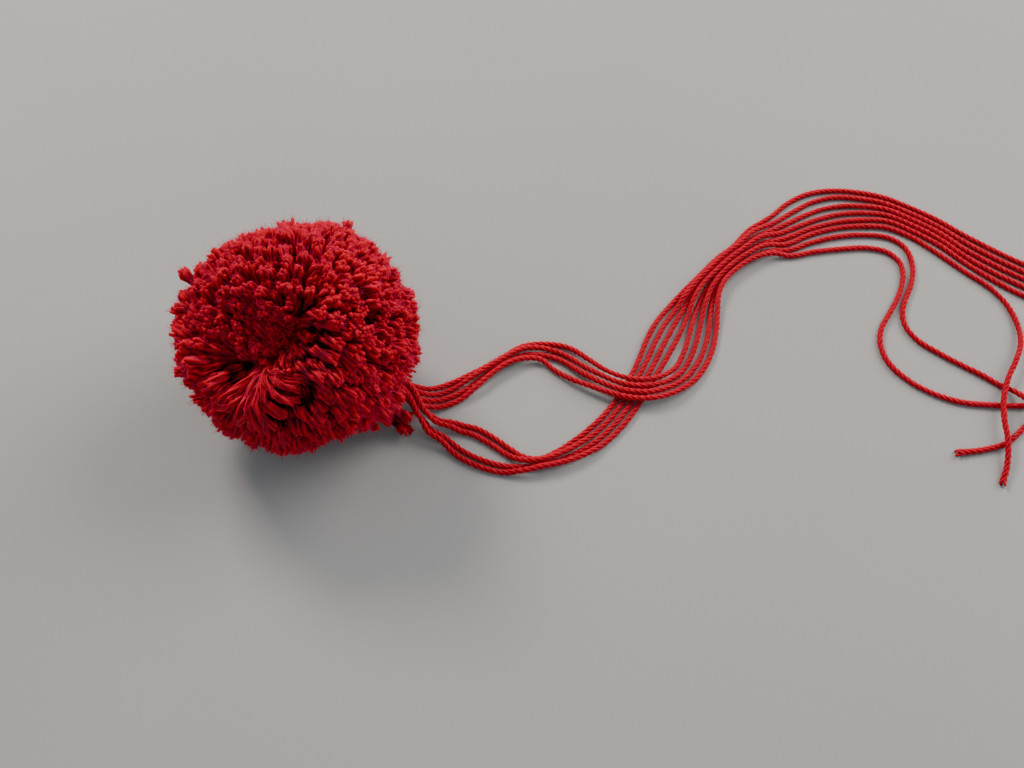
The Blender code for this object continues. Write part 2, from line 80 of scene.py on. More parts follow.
OUTLINE_TUFTS = (
    # whole tufts that were cut longer or shorter: azimuth, elevation (degrees), out (mm), width (degrees)
    (90, 38, 0.8, 5),
    (83, 37, -3.6, 5),
    (105, 40, -3.1, 10),
    (121, 37, -1.5, 16),
    (32, 16, -0.9, 13),
    (46, 23, -0.8, 6),
    (55, 28, 0.9, 6),
    (167, 26, 3.0, 6),
    (152, 32, -1.4, 5),
    (142, 38, -0.8, 4),
    (129, 40, -1.6, 6),
    (-14, -15, -4.4, 8),
    (-27, -20, -3.4, 9),
    (-64, -28, -3.5, 14),
    (-43, -26, -1.3, 8),
    (-154, 3, 0.8, 6),
    (-114, -18, 0.3, 14),
    (-142, -8, -1.0, 6),
    (-15, 72, -1.5, 9),
    (30, 40, 0.8, 22),
)
FINE_TUFTS = (
    # a few yarn ends that were cut longer or shorter than those beside them, in the same columns
    (52, 28, 1.2, 4),
    (40, 21, -0.8, 5),
    (84, 38, -0.8, 3),
    (104, 40, -1.3, 4),
    (116, 40, -0.9, 3),
    (130, 40, -1.3, 4),
    (148, 36, 1.3, 5),
    (168, 26, 0.3, 4),
    (-152, 2, 1.2, 4),
    (-14, -12, -2.0, 5),
    (-6, -29, -2.5, 6),
)
LOW_TUFTS = (
    # yarn that splays out under the tie, in the same columns
    (-15, -43, 6.3, 6),
    (-24, -41, 4.8, 7),
    (-18, -44, 3.5, 5),
)

# The cleft, and the yarn combed out of it over the side below it
CLEFT_ROUTE = (
    # azimuth, elevation (degrees), how much of the full depth it has there
    (-130, 26, 0.3),
    (-120, 25.5, 0.8),
    (-111, 27, 1.0),
    (-104, 32, 1.0),
    (-97, 41, 1.0),
    (-89, 50, 1.0),
    (-79, 58, 0.8),
    (-66, 64, 0.5),
    (-45, 70, 0.2),
)
CLEFT_STEP = 0.02
CLEFT_EDGE = 3.0  # how sharply yarn divides into that below the cleft and that above it
CLEFT_BELOW = (math.radians(31), math.radians(40))  # how far yarn below bends away, and how soon that fades
CLEFT_ABOVE = (math.radians(17), math.radians(38))  # the same for yarn above the cleft
CLEFT_CURL = 2.4  # above 1, yarn bends more and more toward its end
CLEFT_SWEEP = (0.35, 0.75)  # how flat yarn below and above the cleft lies, from 0 to 1
CLEFT_SWEEP_WIDTH = math.radians(48)
CLEFT_DIP = (0.05, 0.16)  # the share by which yarn below and above the cleft is shorter
CLEFT_DIP_WIDTH = (math.radians(16), math.radians(18))
CLEFT_CORE = math.radians(7)  # yarn this near to the cleft's line is inside it
CLEFT_CORE_LENGTH = 0.6
COMBED_FULLER = (0.12, 0.25)  # how much wider and thicker yarn is below the cleft
BOWL_MIDDLE = (-128, 52)
BOWL_DIP = 0.33
BOWL_WIDTH = math.radians(33)
BOWL_CLOSED = 0.45  # how much less a yarn end opens in the bowl
BUNCH_MIDDLE = (-110, 35)
BUNCH_ANGLE = math.radians(26)
BUNCH_WIDTH = math.radians(17)
BUNCH_WAVES = (
    # how far yarn is drawn aside (radians), bunches in a full turn, where the first one starts (radians)
    (0.07, 11, 0.7),
    (0.05, 17, 2.0),
)
FAN_SOURCE = (-107, 28)
FAN_SOURCE_SPREAD = 0.05
FAN_CLUMPS = 15
FAN_YARNS = 2
FAN_PLIES = 6
FAN_HEADINGS = (-1.5, 1.25)
FAN_UNEVEN = (0.08, 0.09)  # how far the headings of clumps, and of the yarns in them, stray
FAN_LIFT = (-1.6, 0.3)
FAN_LIFT_UNEVEN = 0.3
FAN_SINK = (0.25, 4.2)  # past this heading they sink, by this much for each radian
FAN_REACH = math.radians(28)
FAN_FAR = (0.6, 1.0)  # the shares of the reach that clumps have
FAN_FAR_UNEVEN = 0.1
FAN_LOWEST = 0.9  # over a dip the yarns stay above this share of the ball's radius
FAN_OPENING = (0.50, 0.25)  # how far the plies are apart, and how much more at the cut
FAN_PLY = (0.29, 0.07)  # each ply's radius, and how much more at the cut
FAN_PLY_VARIES = (0.92, 1.1)
FAN_PROFILE = (
    # share of the reach, share of the height from the core to the surface
    (0.02, 0.30),
    (0.06, 0.50),
    (0.12, 0.68),
    (0.20, 0.83),
    (0.31, 0.94),
    (0.44, 1.00),
    (0.60, 1.00),
    (0.76, 0.985),
    (0.90, 0.965),
    (1.0, 0.935),
)

# A cut yarn end, ring by ring from the core to its cut
PLY_RINGS = (
    # place, how far each ply is from the yarn's middle line, the ply's radius
    (0.14, 0.38, 0.31),
    (0.50, 0.58, 0.36),
    (0.76, 0.86, 0.43),
    (0.94, 1.06, 0.47),
    (1.0, 1.10, 0.40),
)
PLY_NEAREST = 0.45  # every other ply lies at this share of that distance
PLY_WANDER = 0.18
PLY_LONGER = 0.5  # how much longer or shorter single plies are
OPENING_VARIES = (0.85, 1.15)  # from yarn to yarn
THICKNESS_VARIES = (0.9, 1.12)
PLY_VARIES = (0.88, 1.15)
PLY_OVER_TABLE = 0.6  # a ply stays this many of its radii above the table
YARN_SHORTER = 1.0  # yarn ends this far inside the ball's outline, because it opens at the cut
YARN_UNEVEN = 0.6  # the share of the uneven trim that single yarn ends have
PROUD_SHARE = 0.08  # this share of the yarn ends is longer
PROUD = (0.3, 1.3)
ZONES = ("cut_yarn_low", "cut_yarn_side", "cut_yarn_top")
ZONE_SHARES = (0.34, 0.68)  # where one zone ends and the next starts, of all yarn ends by their height

# The packed middle
LUMP_SIZE = 1.7
LUMP_DEPTH = 1.1

# Loose fibres
FIBRE_TAPER = 0.8  # thickness at the fibre's middle, next to 1 at its root
FIBRE_POINT = 6.0  # how long its tip is, in radii
BALL_FIBRE_SPREAD = 0.42
BALL_FIBRE_ABOVE = 2.0  # none start lower than this over the table
BALL_FIBRE_DEPTH = 1.3  # they start up to this far below the cuts
BALL_FIBRE_BESIDE = 0.25
BALL_FIBRE_LENGTH = (0.6, 1.7)
TIE_FIBRE_SPREAD = 0.9
TIE_FIBRE_ROOT = 0.8  # they start at this share of the strand's radius
TIE_FIBRE_LENGTH = (0.5, 1.2)

# The yarn's look
STREAK_SCALE = (14.0, 0.55, 1.0)  # streaks round a ply, and in one millimetre along it
STREAK_OFFSET = 60  # each ply has its own place in the streaks, up to this far off
STREAK_SHARE = 0.75  # how much the streaks, and each ply's own shade, add to light and dark
SHADE_SHARE = 0.55
YARN_TONES = ((0.15, 0.84), (0.85, 1.06))  # dark and light: the place on the ramp, the share of the color
TABLE_TONES = ((0.3, 0.95), (0.7, 1.0))

# The tie
TIE_THICK = 1.5
TIE_SIDE_BY_SIDE = 1.9  # from the middle of one strand to the next where they touch
TIE_REACH = 3.7  # how far the tie pushes the ball's yarn aside
TIE_FADE = 16.0  # how far from the tie's middle that is still felt
TIE_IN_BALL = 36.0  # so much of each strand is in the ball or close to it
TIE_STEP = 0.7
TIE_SEED = 500
TIE_WAVE = 7  # steps from one slow change of a strand's looseness to the next
TIE_OPENING = (0.60, 0.03, 0.55)  # how far plies are apart: always, by looseness, at the frayed end
TIE_PLY = (0.50, 0.02, 0.2)  # each ply's radius: always, by looseness, and the share it loses at the end
TIE_FRAY = 2.2
GROUP_A = (
    # x, y, lift, first, second, third, fourth
    (8.6, -1.2, 18.8, 2.1, 0.7, -0.7, -2.1),
    (14.5, -1.8, 13.8, 2.1, 0.7, -0.7, -2.1),
    (20.5, -2.6, 8.4, 2.1, 0.7, -0.7, -2.1),
    (26.0, -3.2, 3.9, 2.6, 0.85, -0.85, -2.6),
    (31.5, -2.9, 1.1, 2.85, 0.95, -0.95, -2.85),
    (37.0, -0.6, 0.2, 2.85, 0.95, -0.95, -2.85),
    (42.0, 2.9, 0.0, 2.2, 0.7, -0.8, -2.3),
    (46.8, 6.4, 0.0, 1.6, 0.5, -0.5, -1.6),
    (51.2, 9.4, 0.0, 1.5, 0.5, -0.5, -1.5),
    (56.0, 11.8, 0.0, 2.2, 0.8, -0.6, -2.2),
    (61.0, 12.0, 0.0, 2.8, 1.0, -0.85, -2.65),
    (66.0, 9.8, 0.2, 4.2, 1.6, -0.4, -4.0),
    (71.0, 6.3, 0.8, 3.9, 1.3, -0.7, -3.9),
    (76.0, 3.0, 1.6, 3.1, 1.1, -0.9, -3.2),
    (80.5, 0.8, 1.9, 2.9, 0.95, -0.95, -2.9),
    (85.5, -0.4, 1.95, 2.9, 0.95, -0.95, -2.9),
    (90.5, -0.2, 1.95, 2.9, 0.95, -0.95, -2.9),
    (95.3, 1.8, 1.3, 2.9, 0.95, -0.95, -2.9),
    (99.4, 5.2, 0.4, 3.1, 1.0, -1.0, -3.1),
    (102.4, 9.8, 0.0, 3.5, 1.2, -1.2, -3.4),
    (104.5, 15.0, 0.0, 3.7, 1.3, -1.3, -3.5),
    (106.0, 20.5, 0.0, 3.5, 1.2, -1.2, -3.3),
    (107.2, 26.0, 0.0, 2.8, 1.0, -1.0, -2.8),
    (108.9, 31.2, 0.0, 2.0, 0.7, -0.6, -1.9),
    (111.6, 36.0, 0.0, 1.45, 0.48, -0.48, -1.45),
    (115.7, 40.4, 0.0, 1.45, 0.48, -0.48, -1.45),
    (120.6, 44.1, 0.0, 1.6, 0.55, -0.55, -1.6),
    (126.3, 47.1, 0.0, 2.4, 0.8, -0.8, -2.4),
)
GROUP_B = (
    # x, y, lift, first, second, third, fourth
    (10.6, -1.2, 21.2, 2.1, 0.7, -0.7, -2.1),
    (16.9, -2.1, 15.9, 2.1, 0.7, -0.7, -2.1),
    (23.1, -3.5, 11.0, 1.45, 0.48, -0.48, -1.45),
    (26.2, -5.6, 7.3, 1.0, 0.9, -0.9, -1.0),
    (28.5, -8.6, 3.9, 1.15, 0.75, -0.8, -1.1),
    (30.2, -10.1, 2.5, 1.6, 0.7, -0.9, -1.7),
    (32.2, -11.7, 1.4, 2.3, 0.9, -1.2, -2.6),
    (35.4, -13.1, 0.6, 3.5, 1.8, -1.3, -2.9),
    (38.0, -14.7, 0.1, 4.6, 2.7, -1.6, -3.45),
    (40.6, -16.2, 0.0, 5.4, 3.4, -2.0, -4.0),
    (45.8, -18.7, 0.0, 4.9, 2.9, -2.2, -4.2),
    (50.8, -20.9, 0.0, 3.7, 1.8, -1.5, -3.4),
    (55.6, -21.9, 0.0, 2.1, 0.7, -0.7, -2.2),
    (60.0, -21.6, 0.0, 1.45, 0.48, -0.5, -1.5),
    (65.4, -19.9, 0.0, 2.0, 0.7, -0.6, -1.9),
    (70.5, -17.0, 0.0, 2.6, 0.9, -0.8, -2.5),
    (75.1, -13.4, 0.0, 2.85, 0.95, -0.95, -2.85),
    (79.1, -9.3, 0.0, 2.85, 0.95, -0.95, -2.85),
    (82.4, -4.9, 0.0, 2.85, 0.95, -0.95, -2.85),
    (85.3, -0.3, 0.0, 2.85, 0.95, -0.95, -2.85),
    (88.0, 4.6, 0.0, 2.9, 1.0, -1.0, -2.9),
    (90.6, 9.6, 0.0, 3.3, 1.1, -1.1, -3.3),
    (93.1, 14.7, 0.0, 3.7, 1.3, -1.1, -3.6),
    (95.9, 19.9, 0.0, 3.8, 1.4, -1.0, -3.5),
    (98.9, 25.1, 0.0, 3.0, 1.0, -0.9, -2.9),
    (102.0, 30.1, 0.0, 2.1, 0.7, -0.6, -1.9),
    (105.2, 34.6, 0.0, 1.45, 0.48, -0.48, -1.45),
    (108.9, 38.8, 0.0, 1.45, 0.48, -0.48, -1.45),
    (113.2, 43.2, 0.0, 1.45, 0.48, -0.48, -1.45),
    (118.0, 47.3, 0.0, 1.5, 0.5, -0.5, -1.5),
    (123.4, 52.2, 0.0, 2.3, 0.75, -0.65, -2.05),
)
TAILS = {
    # past the pinched neck each strand goes its own way: x, y and, where it is off the table, the lift
    "a1": (
        (131.8, 50.9), (140.0, 54.6), (148.0, 57.0), (156.0, 57.8), (163.0, 57.3), (170.0, 53.4),
        (176.5, 48.6), (182.5, 42.4), (189.0, 36.6), (196.0, 31.4), (204.0, 26.6), (212.0, 21.2),
        (219.5, 15.0), (226.0, 8.0),
    ),
    "a2": (
        (132.3, 48.9), (140.0, 52.5), (148.0, 54.8), (156.0, 55.5), (162.5, 54.9), (169.0, 51.4),
        (175.5, 45.6), (181.9, 39.2), (187.9, 33.6), (191.5, 27.6), (192.7, 21.0, 0.3), (191.8, 14.4, 1.2),
        (189.0, 8.6, 1.95), (185.4, 2.6, 1.95), (182.7, -4.1, 1.95), (181.6, -10.0, 1.95),
        (181.2, -15.9, 1.95), (180.0, -22.3, 0.7), (177.8, -27.6),
    ),
    "a3": (
        (132.7, 46.8), (140.0, 49.7), (148.0, 51.8), (156.0, 52.3), (162.3, 51.3), (166.2, 48.0),
        (167.4, 43.5), (167.1, 38.8), (165.6, 34.0), (163.2, 29.3), (161.6, 24.6), (161.9, 20.0),
        (164.5, 15.7), (169.2, 11.9), (174.6, 8.1), (179.8, 4.7), (183.8, 1.6), (187.2, -1.0, 0.9),
        (189.3, -5.0, 2.2), (188.6, -9.4, 1.0), (185.6, -12.6, 0.1), (181.3, -15.9), (174.9, -17.7),
        (167.8, -18.6),
    ),
    "a4": (
        (133.1, 44.7), (140.0, 46.2), (148.5, 47.3), (155.5, 47.6), (160.8, 46.2), (163.8, 42.8),
        (164.2, 38.4), (162.9, 33.6), (160.6, 29.0), (157.8, 24.5), (154.9, 19.7), (153.8, 14.3),
        (155.1, 8.6), (159.4, 3.2), (165.4, -0.9), (172.3, -3.5), (180.3, -4.4), (188.2, -4.6),
        (196.0, -3.8), (203.0, -1.8),
    ),
    "b1": (
        (129.2, 59.3), (134.7, 64.2), (141.0, 67.6), (148.5, 68.9), (156.0, 68.2), (163.5, 66.2),
        (170.5, 62.5), (177.5, 57.9), (184.5, 52.2), (191.5, 47.0), (199.0, 42.0), (207.0, 37.0),
        (215.0, 31.6), (222.5, 25.4),
    ),
    "b2": (
        (130.0, 57.0), (135.9, 61.0), (141.9, 64.5), (148.8, 66.3), (156.0, 65.8), (163.0, 64.1),
        (170.0, 60.4), (177.0, 55.7), (184.0, 49.7), (191.0, 44.3), (198.5, 39.3), (206.5, 34.4),
        (214.5, 29.0), (222.0, 22.6),
    ),
    "b3": (
        (130.7, 55.0), (137.1, 58.5), (142.9, 61.3), (149.2, 62.9), (156.0, 63.0), (163.0, 61.9),
        (170.0, 58.1), (177.0, 53.3), (183.5, 47.1), (190.5, 41.7), (198.0, 36.7), (206.0, 31.8),
        (214.0, 26.3), (221.5, 19.9),
    ),
    "b4": (
        (131.2, 53.0), (138.0, 56.1), (143.6, 58.4), (149.7, 60.0), (156.0, 60.4), (163.0, 59.6),
        (170.0, 55.8), (176.8, 51.0), (183.0, 44.7), (189.8, 39.1), (197.2, 34.1), (205.2, 29.2),
        (213.2, 23.8), (220.5, 17.4),
    ),
}

# The stage, in metres; the camera's aim, lens and sensor are in millimetres
TABLE_SIZE = 6.0
TABLE_BELOW = 0.00003  # keeps the table clear of what rests on it
LIGHT_AIM = (0.03, 0.0, 0.02)
LIGHTS = (
    # name, place, width, color
    ("key_light", (-0.30, 0.50, 0.56), 0.26, (1.0, 0.91, 0.83)),
    ("fill_light", (0.62, 0.34, 0.48), 0.6, (1.0, 0.96, 0.92)),
)
ROOM_COLOR = (0.79, 0.92, 1.0, 1)
ROOM_STRENGTH = 0.6
CAMERA_AIM = (52.53, 2.514, 0.0)
CAMERA_LENS = 38.6
CAMERA_SENSOR = 36.0
CAMERA_CLIP = (0.01, 20.0)


def unit(vectors):
    return vectors / np.linalg.norm(vectors, axis=-1, keepdims=True)


def bell(distance, width):
    """A share that is 1 at no distance and fades to about 0 at twice the width."""
    return np.exp(-((distance / width) ** 2))


def toward(azimuth, elevation):
    """Unit vector from the ball's centre, from angles in degrees."""
    azimuth, elevation = math.radians(azimuth), math.radians(elevation)
    level = math.cos(elevation)
    return np.array((level * math.cos(azimuth), level * math.sin(azimuth), math.sin(elevation)))


def angle_from(directions, azimuth, elevation):
    """The angles from directions to the one that is given in degrees."""
    return np.arccos(np.clip(directions @ toward(azimuth, elevation), -1, 1))


def turned(angle, start, way):
    """Unit vectors turned by an angle from `start` to `way`, which is square to it."""
    return np.cos(angle)[..., None] * start + np.sin(angle)[..., None] * way


def steps_along(routes):
    """The distance from each point of a route to the next one."""
    return np.linalg.norm(np.diff(routes, axis=-2), axis=-1)


def travelled_along(routes):
    """How far along its route each point is."""
    return np.cumsum(np.pad(steps_along(routes), ((0, 0), (1, 0))), axis=1)


def smooth_route(points, step, samples=12):
    """Points about `step` apart along a centripetal Catmull-Rom curve through the given ones."""
    through = np.array(points, float)
    through = np.vstack((2 * through[0] - through[1], through, 2 * through[-1] - through[-2]))
    fine = []
    for a, b, c, d in zip(through[:-3], through[1:-2], through[2:-1], through[3:]):
        ta = math.sqrt(np.linalg.norm(b - a))
        tb = ta + math.sqrt(np.linalg.norm(c - b))
        tc = tb + math.sqrt(np.linalg.norm(d - c))
        for t in np.linspace(ta, tb, samples, endpoint=False):
            first = a + (b - a) * t / ta
            second = b + (c - b) * (t - ta) / (tb - ta)
            third = c + (d - c) * (t - tb) / (tc - tb)
            left = first + (second - first) * t / tb
            right = second + (third - second) * (t - ta) / (tc - ta)
            fine.append(left + (right - left) * (t - ta) / (tb - ta))
    fine = np.array(fine + [through[-2]])
    along = np.concatenate(([0], np.cumsum(steps_along(fine))))
    places = np.linspace(0, along[-1], round(along[-1] / step) + 1)
    return np.column_stack([np.interp(places, along, fine[:, axis]) for axis in range(3)])


# Where the tie and the ball's yarn run


def group_routes(rows):
    """The four strands of a group where they lie side by side, or two high where they are pinched."""
    rows = np.array(rows, float)
    middle, lift, across = rows[:, :2], rows[:, 2], rows[:, 3:]
    heading = unit(np.gradient(middle, axis=0))
    left = np.column_stack((-heading[:, 1], heading[:, 0]))
    level = np.linalg.norm(unit(np.gradient(rows[:, :3], axis=0))[:, :2], axis=1)
    spacing = -np.diff(across, axis=1)
    nearest = {1: np.minimum(spacing[:, 0], spacing[:, 1]), 3: spacing[:, 2]}
    routes = []
    for strand in range(4):
        rise = np.zeros(len(rows))
        if strand in nearest:
            rise = np.sqrt(np.clip(TIE_SIDE_BY_SIDE**2 - nearest[strand] ** 2, 0, None)) / level
        places = middle + left * across[:, strand : strand + 1]
        routes.append(np.column_stack((places, TIE_THICK / 2 + lift + rise)))
    return routes


def tie_routes(step):
    """Each strand's points by its name, from the core to its loose end, never below the table."""
    found = {}
    for letter, rows in (("a", GROUP_A), ("b", GROUP_B)):
        for strand, start in enumerate(group_routes(rows)):
            name = f"{letter}{strand + 1}"
            tail = np.array([(*place, 0)[:3] for place in TAILS[name]], float) + (0, 0, TIE_THICK / 2)
            route = smooth_route(np.vstack((start, tail)), step)
            route[:, 2] = np.maximum(route[:, 2], TIE_THICK / 2)
            found[name] = route
    return found


def tie_middle():
    """Points along the middle of the strands, in the ball or close to it, from the ball's centre."""
    step = 1.0
    inside = np.array([route[: int(TIE_IN_BALL / step)] for route in tie_routes(step).values()])
    return inside.mean(axis=0) - BALL_CENTRE


def spread_directions(count, seed):
    """Evenly spread directions, the first of them straight down."""
    draw = np.random.default_rng(seed)
    found = unit(draw.normal(size=(count, 3)))
    found[0] = (0, 0, -1)
    spacing = math.sqrt(4 * math.pi / count)
    step = SPREAD_STEP * SPREAD_STEP_COUNT / count
    for _ in range(SPREAD_ROUNDS):
        pushes = []
        for part in np.array_split(found, SPREAD_LOTS):
            apart = part[:, None] - found[None]
            distance = np.sqrt((apart**2).sum(axis=2)) + 1e-9
            strength = (spacing / distance) ** SPREAD_POWER
            strength[distance < 1e-6] = 0
            pushes.append((apart * strength[..., None]).sum(axis=1))
        push = np.vstack(pushes)
        size = np.linalg.norm(push, axis=1, keepdims=True)
        found = unit(found + push * step * np.minimum(1, spacing / (size * step + 1e-9)))
        found[0] = (0, 0, -1)
    return found


def outline_radius(directions):
    """How far from the ball's centre the yarn was trimmed, in each direction."""
    radius = 1 / np.linalg.norm(directions / BALL_RADII, axis=-1)
    for azimuth, elevation, out, width in OUTLINE_TUFTS + FINE_TUFTS + LOW_TUFTS:
        radius += out * bell(angle_from(directions, azimuth, elevation), math.radians(width))
    return radius


def cleft_line():
    """Directions along the cleft, for each the way that points below it, and its share of full depth."""
    line = unit(smooth_route([toward(*place[:2]) for place in CLEFT_ROUTE], CLEFT_STEP))
    given = np.array([toward(*place[:2]) for place in CLEFT_ROUTE])
    at = (given @ line.T).argmax(axis=1)
    depth = np.interp(np.arange(len(line)), at, [place[2] for place in CLEFT_ROUTE])
    return line, unit(np.cross(np.gradient(line, axis=0), line)), depth


CLEFT_LINE, BELOW_CLEFT, CLEFT_DEPTH = cleft_line()


def beside_cleft(directions):
    """For each direction: its nearest point of the cleft, the angle between them, the way from that point
    to it, how far it counts as below the cleft (0 to 1), and the cleft's share of full depth there."""
    cosine = directions @ CLEFT_LINE.T
    nearest = cosine.argmax(axis=-1)
    foot = CLEFT_LINE[nearest]
    angle = np.arccos(np.clip(cosine.max(axis=-1), -1, 1))
    away = unit(directions - np.cos(angle)[..., None] * foot + 1e-9)
    side = (away * BELOW_CLEFT[nearest]).sum(axis=-1)
    return foot, angle, away, 0.5 + 0.5 * np.tanh(CLEFT_EDGE * side), CLEFT_DEPTH[nearest]


def bent(directions, place):
    """Directions turned away from the cleft, more and more from the core (place 0) to the surface (1)."""
    foot, angle, away, below, depth = beside_cleft(directions)
    turn = below * CLEFT_BELOW[0] * np.exp(-angle / CLEFT_BELOW[1])
    turn += (1 - below) * CLEFT_ABOVE[0] * np.exp(-angle / CLEFT_ABOVE[1])
    return turned(angle + depth * turn * place**CLEFT_CURL, foot, away)


def swept(directions, place):
    """Directions drawn back to the cleft, most at the core and not at all at the surface."""
    foot, angle, away, below, depth = beside_cleft(directions)
    sweep = below * CLEFT_SWEEP[0] + (1 - below) * CLEFT_SWEEP[1]
    sweep = sweep * depth * bell(angle, CLEFT_SWEEP_WIDTH) * (1 - place**2)
    return turned(angle * (1 - sweep), foot, away)


def bunched(directions):
    """Directions drawn together into tufts round the middle of the combed side, with gaps between them."""
    middle = toward(*BUNCH_MIDDLE)
    across = unit(np.cross(middle, (0.0, 0.0, 1.0)))
    upward = np.cross(middle, across)
    angle = angle_from(directions, *BUNCH_MIDDLE)
    heading = np.arctan2(directions @ upward, directions @ across)
    aside = sum(far * np.sin(count * heading + shift) for far, count, shift in BUNCH_WAVES)
    heading = heading + bell(angle - BUNCH_ANGLE, BUNCH_WIDTH) * aside
    return turned(angle, middle, turned(heading, across, upward))


def dipped(directions, radius):
    """The radius where the yarn dips toward the cleft; a yarn inside the cleft ends low."""
    _, angle, _, below, depth = beside_cleft(directions)
    dip = below * CLEFT_DIP[0] + (1 - below) * CLEFT_DIP[1]
    width = below * CLEFT_DIP_WIDTH[0] + (1 - below) * CLEFT_DIP_WIDTH[1]
    dip = depth * dip * bell(angle, width)
    dip += (1 - below) * BOWL_DIP * bell(angle_from(directions, *BOWL_MIDDLE), BOWL_WIDTH)
    radius = radius * (1 - dip)
    inside = CORE_RADIUS + (radius - CORE_RADIUS) * CLEFT_CORE_LENGTH
    return np.where(angle < CLEFT_CORE * depth, inside, radius)


def parted(points, middle):
    """Points moved off the middle line of the tie, all of them staying in their order around it."""
    apart = points[:, None] - middle[None]
    distance = np.linalg.norm(apart, axis=2)
    nearest = distance.argmin(axis=1)
    away = apart[np.arange(len(points)), nearest]
    near = np.maximum(distance.min(axis=1), 1e-6)[:, None]
    return points + away / near * np.clip(TIE_REACH * (1 - near / TIE_FADE), 0, None)


TIE_MIDDLE = tie_middle()


def in_flat_spot(directions):
    """Whether yarn in these directions meets the table inside the flat spot."""
    down = np.minimum(directions[:, 2:], -1e-3)
    place = directions[:, :2] * BALL_CENTRE[2] / -down
    return (directions[:, 2] < 0) & (np.linalg.norm(place - FOOT_MIDDLE, axis=1) < FOOT_REACH)


# Making yarn


def plied(middles, opening, thickness, reference, start, plies, turn_length, nearest=1.0):
    """The routes and thickness of the plies that are twisted round each yarn's middle line.

    `middles` is (yarn, ring, 3). `opening`, how far each ply is from the middle, and `thickness`, its
    radius, are (yarn, ring). `reference` is a direction across each yarn and `start` the angle at which its
    twist starts. Every other ply lies nearer to the middle line, at the share `nearest` of its opening."""
    share = np.where(np.arange(plies) % 2, nearest, 1.0)
    along = unit(np.gradient(middles, axis=1))
    across = unit(np.cross(along, reference[:, None]))
    upward = np.cross(along, across)
    turn = np.arange(plies)[None, :, None] / plies + travelled_along(middles)[:, None] / turn_length
    turn = start[:, None, None] + 2 * math.pi * turn
    side = np.cos(turn)[..., None] * across[:, None] + np.sin(turn)[..., None] * upward[:, None]
    routes = middles[:, None] + side * opening[:, None, :, None] * share[None, :, None, None]
    thick = np.repeat(thickness[:, None], plies, axis=1)
    rings = middles.shape[1]
    return routes.reshape(-1, rings, 3), thick.reshape(-1, rings), side.reshape(-1, rings, 3)


def tube_corners(rings, sides):
    """The triangles of one tube, corner by corner: its number, its place round the tube and its ring."""

    def on_wall(ring, side):
        return ring * sides + side % sides, side, ring

    found = []
    for ring in range(rings - 1):
        for side in range(sides):
            low, low_next = on_wall(ring, side), on_wall(ring, side + 1)
            high, high_next = on_wall(ring + 1, side), on_wall(ring + 1, side + 1)
            found += [low, low_next, high_next, low, high_next, high]
    for side in range(sides):
        point = (rings * sides, side + 0.5, rings)
        found += [on_wall(rings - 1, side), on_wall(rings - 1, side + 1), point]
    for side in range(1, sides - 1):
        found += [(0, 0, 0), (side + 1, 1, 0), (side, 0.5, 0)]
    number, place, ring = np.array(found).T
    return number.astype(int), place, ring.astype(int)


def tubes(routes, thickness, side, sides, dome, draw, uneven=0.0):
    """Closed round tubes as corners, triangles, UVs (round, along in mm) and a shade for each corner.

    A tube starts flat and ends in a point, `dome` radii long. `uneven` shifts its corners in and out."""
    count, rings = thickness.shape
    along = unit(np.gradient(routes, axis=1))
    first = unit(side - (side * along).sum(axis=2, keepdims=True) * along)
    second = np.cross(along, first)
    turn = np.arange(sides) * 2 * math.pi / sides
    around = np.cos(turn)[:, None] * first[:, :, None] + np.sin(turn)[:, None] * second[:, :, None]
    reach = thickness[:, :, None] * (1 + uneven * draw.normal(size=(count, rings, sides)))
    corners = routes[:, :, None] + reach[..., None] * around
    apex = routes[:, -1] + along[:, -1] * thickness[:, -1:] * dome
    corners = np.concatenate((corners.reshape(count, -1, 3), apex[:, None]), axis=1)
    each = corners.shape[1]
    number, place, ring = tube_corners(rings, sides)
    faces = (number.reshape(-1, 3) + np.arange(count)[:, None, None] * each).reshape(-1, 3)
    travelled = travelled_along(routes)
    travelled = np.column_stack((travelled, travelled[:, -1] + thickness[:, -1] * (0.5 + dome)))
    offset = draw.uniform(0, STREAK_OFFSET, (count, 2))
    uv = np.stack((place / sides + offset[:, :1], travelled[:, ring] + offset[:, 1:]), axis=-1)
    shade = np.repeat(draw.uniform(0, 1, count), each)
    return corners.reshape(-1, 3), faces, uv.reshape(-1, 2), shade


def joined(parts):
    """Several lots of tubes as one."""
    corners, faces, uvs, shades = [], [], [], []
    first = 0
    for part_corners, part_faces, part_uv, part_shade in parts:
        corners.append(part_corners)
        faces.append(part_faces + first)
        uvs.append(part_uv)
        shades.append(part_shade)
        first += len(part_corners)
    return np.vstack(corners), np.vstack(faces), np.vstack(uvs), np.concatenate(shades)


def make_piece(name, parts, material, nodes):
    """One piece from tubes in millimetres. It rides on the body and stands for the named nodes."""
    corners, faces, uv, shade = joined(parts)
    corners[:, 2] = np.maximum(corners[:, 2], LOWEST)
    mesh = bpy.data.meshes.new(name)
    mesh.from_pydata(corners * MM, (), faces)
    mesh.uv_layers.new(name="yarn").data.foreach_set("uv", uv.astype(np.float32).ravel())
    mesh.attributes.new("shade", "FLOAT", "POINT").data.foreach_set("value", shade.astype(np.float32))
    mesh.shade_smooth()
    mesh.materials.append(material)
    mesh.validate()
    piece = bpy.data.objects.new(name, mesh)
    bpy.context.scene.collection.objects.link(piece)
    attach(piece, BODY)
    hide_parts(*nodes)
    return piece


